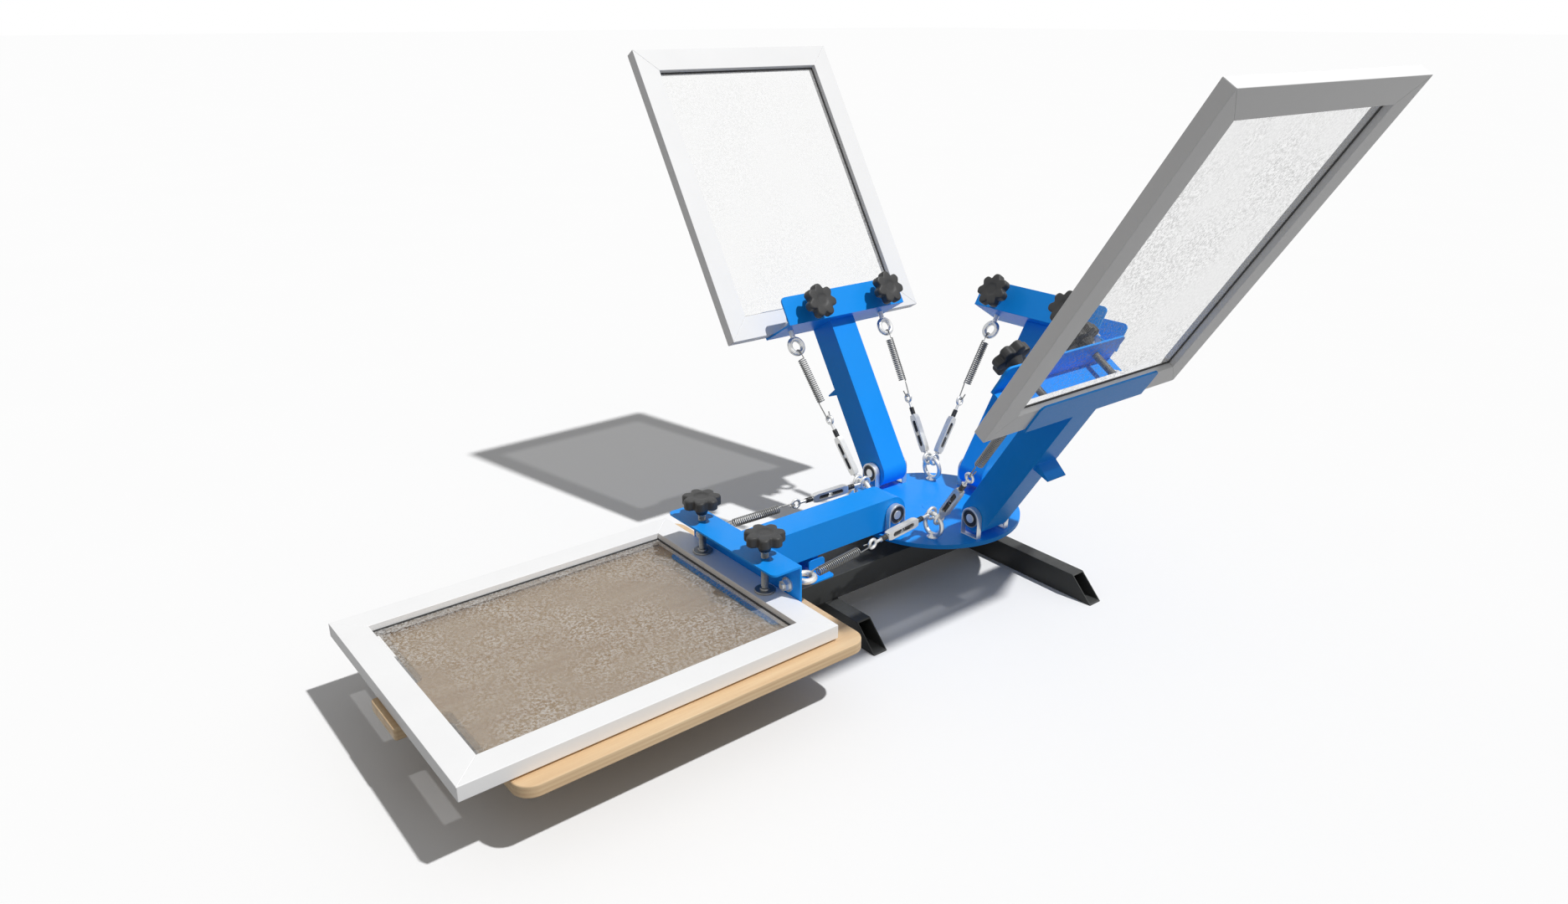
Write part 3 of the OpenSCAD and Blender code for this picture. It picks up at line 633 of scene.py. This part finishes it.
class PRESS_OT_stage(bpy.types.Operator):
    """Floor, light and camera"""
    bl_idname = "press.stage"
    bl_label = "Stage"

    def execute(self, context):
        scene = context.scene
        scene.view_settings.view_transform = "Standard"
        bm = bmesh.new()
        bmesh.ops.create_grid(bm, x_segments=4, y_segments=4, size=FLOOR_HALF)
        mesh = bpy.data.meshes.new("floor")
        bm.to_mesh(mesh)
        bm.free()
        floor = bpy.data.objects.new("floor", mesh)
        scene.collection.objects.link(floor)
        material, tree, shader, place = blank("floor_paper")
        paths = put(tree, "ShaderNodeLightPath").outputs
        clouds = speckle(tree, place, 3.0, 2.0)
        pale = mixed(tree, clouds, (0.975, 0.975, 0.975, 1), (0.985, 0.985, 0.985, 1))
        # Painted shade: the camera sees the floor pale, but diffuse rays see it dark grey, so the press's
        # lower sides get little bounce light
        tree.links.new(mixed(tree, paths["Is Diffuse Ray"], pale, FLOOR_BOUNCE), shader.inputs["Base Color"])
        shader.inputs["Roughness"].default_value = 1.0
        shader.inputs["Specular IOR Level"].default_value = 0.0
        mesh.materials.append(material)

        world = bpy.data.worlds.new("studio")
        scene.world = world
        world.use_nodes = True
        tree = world.node_tree
        paths = put(tree, "ShaderNodeLightPath").outputs
        mirrored = number(tree, "MAXIMUM", paths["Is Glossy Ray"], paths["Is Transmission Ray"])
        seen = number(tree, "MAXIMUM", paths["Is Camera Ray"], mirrored)
        sky = tree.nodes["Background"].inputs
        sky["Color"].default_value = (1, 1, 1, 1)
        tree.links.new(spread(tree, seen, SKY_LIGHT, SKY_SEEN), sky["Strength"])

        sun = bpy.data.lights.new("sun", "SUN")
        sun.energy = SUN_STRENGTH
        sun.angle = math.radians(SUN_SPREAD)
        lamp = bpy.data.objects.new("sun", sun)
        scene.collection.objects.link(lamp)
        lamp.rotation_mode = "QUATERNION"
        lamp.rotation_quaternion = Vector(SUN_WAY).to_track_quat("-Z", "Y")
        lamp.location = SUN_AT

        camera = bpy.data.objects.new("camera", bpy.data.cameras.new("camera"))
        scene.collection.objects.link(camera)
        camera.location = CAMERA_AT
        camera.rotation_mode = "QUATERNION"
        camera.rotation_quaternion = Vector(CAMERA_WAY).to_track_quat("-Z", "Y")
        camera.data.sensor_width = CAMERA_SENSOR
        camera.data.lens = CAMERA_LENS
        camera.data.clip_end = CAMERA_FAR
        scene.camera = camera
        return {"FINISHED"}


class PRESS_OT_base(bpy.types.Operator):
    """Beam, feet, platen and what stands between the feet and the turntable"""
    bl_idname = "press.base"
    bl_label = "Base and platen"

    def execute(self, context):
        sizes = context.scene.press_sizes
        for node in ("main_beam", "front_foot", "rear_foot", "platen_mounts"):
            dress(node, powder(), sizes.edge)
        dress("platen_board", timber(), sizes.edge * 1.6, 3)
        dress("registration_gate", enamel(), sizes.fine_edge)
        dress("spindle_post", steel(), sizes.fine_edge)
        dress("thrust_washer", zinc(), sizes.fine_edge)
        dress("spindle_cap", enamel(), sizes.fine_edge)
        return {"FINISHED"}


class PRESS_OT_turntable(bpy.types.Operator):
    """Disc, brackets, pins, bearings and ring bolts"""
    bl_idname = "press.turntable"
    bl_label = "Turntable"

    def execute(self, context):
        sizes = context.scene.press_sizes
        dress("turntable_disc", enamel(), sizes.fine_edge)
        dress("hinge_brackets", zinc(), sizes.fine_edge)
        dress("hinge_pins", zinc(), sizes.fine_edge)
        dress("ring_bolts", zinc(), sizes.fine_edge * 0.6, 1)
        self.bearings()
        self.ring_feet()
        return {"FINISHED"}

    def bearings(self):
        """The steel race and the black seal of each hinge bearing."""
        width, inside = BRACKET_OUT - BRACKET_IN, BEARING_R - 1.5
        race = [(inside, 0.2), (BEARING_R - 0.4, 0.2), (BEARING_R, 0.6), (BEARING_R, width - 0.4),
                (BEARING_R - 0.3, width - 0.1), (BEARING_R - 1.3, width - 0.1), (inside, width - 0.3)]
        seal = [(COLLAR_R, 0.3), (inside, 0.3), (inside, width - 0.9), (BEARING_R - 3.6, width - 0.9),
                (BEARING_R - 3.9, width - 1.3), (COLLAR_R + 2.1, width - 1.3), (COLLAR_R + 1.8, width - 0.7),
                (COLLAR_R, width - 0.7)]
        for name, profile, finish, replaced in (("bearing_races", race, steel(), ["hinge_bearings"]),
                                                ("bearing_seals", seal, oxide(), [])):
            bm = bmesh.new()
            for head in HEADS:
                for side in (-1, 1):
                    outward = Matrix.Rotation(-side * math.pi / 2, 4, "X")
                    stand = Matrix.Translation((HINGE_R, side * BRACKET_IN, HINGE_Z)) @ outward
                    turned(bm, profile, post_matrix(head) @ stand)
            keep(name, bm, finish, "turntable", replaced)

    def ring_feet(self):
        """The flared foot under each ring bolt."""
        flare = ((0, 0), (8.6, 0), (9, 0.4), (8.9, 1.5), (7.4, 2.8), (5.6, 4.6), (4.2, 6.2), (0, 6.2))
        bm = bmesh.new()
        for x in (-1, 1):
            for y in (-1, 1):
                place = Matrix.Translation((x * RING_PLACE, y * RING_PLACE - REAR_FOOT_R, 0))
                turned(bm, [(r, DISC_TOP + z) for r, z in flare], Matrix.Scale(MM, 4) @ place, 32)
        keep("ring_bolt_feet", bm, zinc(), "turntable")


class PRESS_OT_heads(bpy.types.Operator):
    """Arms, clamps and eye bolts"""
    bl_idname = "press.heads"
    bl_label = "Print heads"

    def execute(self, context):
        sizes = context.scene.press_sizes
        for head in HEADS:
            dress("arm_" + head, enamel(), sizes.edge)
            dress("clamp_" + head, enamel(), sizes.fine_edge * 1.4)
            dress("eye_bolts_" + head, zinc(), sizes.fine_edge * 0.6, 1)
            bm = bmesh.new()
            for side in (-1, 1):
                axis = Matrix.Translation((0, side * EYE_SIDE, EYE_Z + RISE[head]))
                at = head_matrix(head) @ axis @ ALONG_X
                for low, high in ((EYE_R + EYE_MAJOR + 3.2, WEB_IN - 3.1), (WEB_IN + 8.8, WEB_IN + 12)):
                    thread(bm, EYE_BOLT_CORE, EYE_BOLT_CREST, EYE_BOLT_PITCH, low, high, at)
            keep("eye_bolt_threads_" + head, bm, zinc(), "head_" + head)
        return {"FINISHED"}


class PRESS_OT_screens(bpy.types.Operator):
    """Frames, stretched mesh and its bead"""
    bl_idname = "press.screens"
    bl_label = "Screens"

    def execute(self, context):
        sizes = context.scene.press_sizes
        length, width = SCREEN_L - 2 * RAIL_W, SCREEN_W - 2 * RAIL_W
        for head in SCREENED:
            dress("screen_frame_" + head, frame_coat(), sizes.edge)
            middle = Matrix.Translation((SCREEN_START + SCREEN_L / 2, 0, SCREEN_Z + RISE[head] + RAIL_H / 2))
            at = head_matrix(head) @ middle
            bm = bmesh.new()
            opening = Matrix.Diagonal((length, width, 1, 1))
            bmesh.ops.create_grid(bm, x_segments=26, y_segments=20, size=0.5, matrix=at @ opening)
            mesh = keep("screen_cloth_" + head, bm, cloth(), "head_" + head, ["screen_mesh_" + head])
            bm = bmesh.new()
            for turn, reach, across in ((0, length, width), (90, width, length)):
                for side in (-1, 1):
                    shift = Matrix.Translation((0, side * (across / 2 - BEAD / 2), 0))
                    bar = Matrix.Rotation(math.radians(turn), 4, "Z") @ shift
                    size = Matrix.Diagonal((reach, BEAD, BEAD, 1))
                    bmesh.ops.create_cube(bm, size=1, matrix=at @ bar @ size)
            round_edges(bm, BEAD_EDGE * MM, 2)
            keep("mesh_bead_" + head, bm, bead_rubber(), "head_" + head)
        return {"FINISHED"}


class PRESS_OT_screws(bpy.types.Operator):
    """Clamp screws with their pads, and star knobs"""
    bl_idname = "press.screws"
    bl_label = "Clamp screws and knobs"

    def execute(self, context):
        pitch = context.scene.press_sizes.thread_pitch / MM
        for head in HEADS:
            for name, side in (("a", -1), ("b", 1)):
                body = f"screw_{head}_{name}"
                at = head_matrix(head) @ Matrix.Translation((SCREW_PLACE, side * SCREW_SIDE, RISE[head]))
                self.screw(f"{head}_{name}", body, at, pitch)
                self.knob(f"{head}_{name}", body, at)
        return {"FINISHED"}

    def screw(self, label, body, at, pitch):
        """A threaded screw with the round pad that presses on the frame."""
        top = PAD_Z + PAD_T
        pad = [(0, PAD_Z), (PAD_R - 1, PAD_Z), (PAD_R, PAD_Z + 0.8), (PAD_R, top - 0.8), (PAD_R - 0.8, top),
               (PAD_R - 2.2, top), (PAD_R - 2.7, top - 0.5), (7.2, top - 0.5), (6.8, top + 1.6),
               (6.2, top + 2), (0, top + 2)]
        bm = bmesh.new()
        turned(bm, pad, at)
        rod(bm, SCREW_R - 0.9, top + 1, KNOB_Z, at)
        thread(bm, SCREW_R - 1, SCREW_R - 0.05, pitch, top + 2.4, HUB_Z + 1, at)
        keep(f"clamp_screw_{label}_threaded", bm, spring_steel(), body,
             [f"clamp_screw_{label}"], sharp=50)

    def knob(self, label, body, at):
        """A star knob, and the collar where its screw goes in."""
        bm = bmesh.new()
        self.star(bm, at)
        keep(f"knob_{label}_moulded", bm, plastic(), body, [f"knob_{label}"], sharp=50)
        collar = [(SCREW_R - 0.4, HUB_Z - 0.6), (6.7, HUB_Z - 0.6), (7.1, HUB_Z - 0.3), (7.1, HUB_Z + 0.6),
                  (SCREW_R - 0.4, HUB_Z + 0.6)]
        bm = bmesh.new()
        turned(bm, collar, at, 32)
        keep(f"knob_collar_{label}", bm, zinc(), body)

    def star(self, bm, at):
        """A star of round lobes, grown from its hub up to its dished top."""
        levels = [(*level, False) for level in HUB_LEVELS]
        levels += [(*level, True) for level in LOBED_LEVELS]
        levels += [(*level, False) for level in DISH_LEVELS]
        segments = KNOB_LOBES * LOBE_STEPS
        ring = bmesh.ops.create_circle(bm, cap_ends=True, segments=segments, radius=1)["verts"]
        made = list(ring)
        self.level(ring, *levels[0])
        for level in levels[1:]:
            ring = grow(bm, ring, Matrix.Identity(4))
            self.level(ring, *level)
            made += ring
        cap(bm, ring)
        bmesh.ops.transform(bm, matrix=at, verts=made)

    def level(self, ring, share, height, lobed):
        """Moves a ring to its height on the knob, round or dipped between the lobes."""
        for v in ring:
            angle = math.atan2(v.co.y, v.co.x)
            wave = math.cos(KNOB_LOBES * angle)
            dip = 1 - LOBE_DIP * (0.5 - 0.5 * wave) ** LOBE_POINT
            r = KNOB_R * share * (dip if lobed else 1)
            v.co = Vector((r * math.cos(angle), r * math.sin(angle), HUB_Z + height))


class PRESS_OT_chains(bpy.types.Operator):
    """Turnbuckles and coil springs"""
    bl_idname = "press.chains"
    bl_label = "Turnbuckles and springs"

    def execute(self, context):
        sizes = context.scene.press_sizes
        pitch = sizes.stud_pitch / MM
        for head in HEADS:
            dress("turnbuckles_" + head, zinc(), sizes.fine_edge * 0.8, 2)
            start, end = chain_ends(head)
            length, sides = (end - start).length, chain_matrices(head)
            studs, coils = bmesh.new(), bmesh.new()
            for at in sides:
                self.studs(studs, head, pitch, at @ ALONG_X)
                self.spring(coils, BUCKLE_EYE[head], length, sizes.spring_turns, at)
            keep("turnbuckle_studs_" + head, studs, oxide(), "link_" + head, sharp=50)
            piece = keep("springs_" + head + "_coiled", coils, spring_steel(), None,
                         ["springs_" + head], sharp=60)
            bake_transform(piece)
        return {"FINISHED"}

    def studs(self, bm, head, pitch, at):
        """The threaded ends of a turnbuckle, outside its body and in its slots."""
        near, far = BODY_START[head], BODY_START[head] + BODY_L
        for low, high in ((near - HOOK_STUB[head], near), (far, far + STUB_L)):
            rod(bm, STUB_R + 0.02, low + 0.2, high - 0.05, at, 0.4, 24)
            if high - low > 3 * pitch:
                thread(bm, STUB_R, STUB_R + 0.45, pitch, low + 0.6, high - 0.1, at)
        inner, outer = SLOT_END + 0.2, SLOT_END + THREAD_L
        for low, high in ((near + inner, near + outer), (far - outer, far - inner)):
            rod(bm, THREAD_R + 0.05, low, high, at, 0.4, 24)
            thread(bm, THREAD_R, THREAD_R + 0.4, pitch, low, high, at)

    def spring(self, bm, hooked, length, turns, at):
        """An open hook in the turnbuckle's eye, a long leg, the coil and a hook round the eye bolt."""
        radius, wire = (COIL_D - WIRE_D) / 2, WIRE_D / 2
        small, big = BUCKLE_EYE_WIRE + wire + HOOK_FIT, EYE_WIRE + wire + HOOK_FIT
        first, last, eye = hooked + SPRING_LEG, length - SPRING_END, hooked + BUCKLE_EYE_MAJOR
        lead = []
        for share in LEG_SHARES:
            lead.append((eye + (first - eye) * share, small + (radius - small) * share, 0))
        for angle in range(-270, -89, 20):
            a = math.radians(angle)
            lead.append((eye + small * math.cos(a), small * math.sin(a), 0))
        lead += [(eye + 4, -small - 1, 0), (eye + 7, -small - 1.6, 0)]
        tail = []
        for angle in range(70, -91, -20):
            a = math.radians(angle)
            tail.append((length + big * math.cos(a), 0, big * math.sin(a)))
        coil(bm, (radius, wire), first, last, turns + 0.25, lead, tail, at)


OPERATORS = (PRESS_OT_stage, PRESS_OT_base, PRESS_OT_turntable, PRESS_OT_heads, PRESS_OT_screens,
             PRESS_OT_screws, PRESS_OT_chains)


class PRESS_PT_panel(bpy.types.Panel):
    """Lists the pieces of the press"""
    bl_label = "Screen printing press"
    bl_idname = "PRESS_PT_panel"
    bl_space_type = "VIEW_3D"
    bl_region_type = "UI"
    bl_category = "Press"

    def draw(self, context):
        for settings in (context.scene.press_sizes, context.scene.press_colours):
            for key in settings.__annotations__:
                self.layout.prop(settings, key)
        for operator in OPERATORS:
            self.layout.operator(operator.bl_idname)


CLASSES = (PressSizes, PressColours, *OPERATORS, PRESS_PT_panel)


def register():
    for kind in CLASSES:
        bpy.utils.register_class(kind)
    bpy.types.Scene.press_sizes = PointerProperty(type=PressSizes)
    bpy.types.Scene.press_colours = PointerProperty(type=PressColours)


def unregister():
    del bpy.types.Scene.press_sizes
    del bpy.types.Scene.press_colours
    for kind in reversed(CLASSES):
        bpy.utils.unregister_class(kind)


def main():
    """Makes the stage and every piece, in order."""
    register()
    for operator in OPERATORS:
        group_name, name = operator.bl_idname.split(".")
        getattr(getattr(bpy.ops, group_name), name)()


if __name__ == "__main__":
    main()
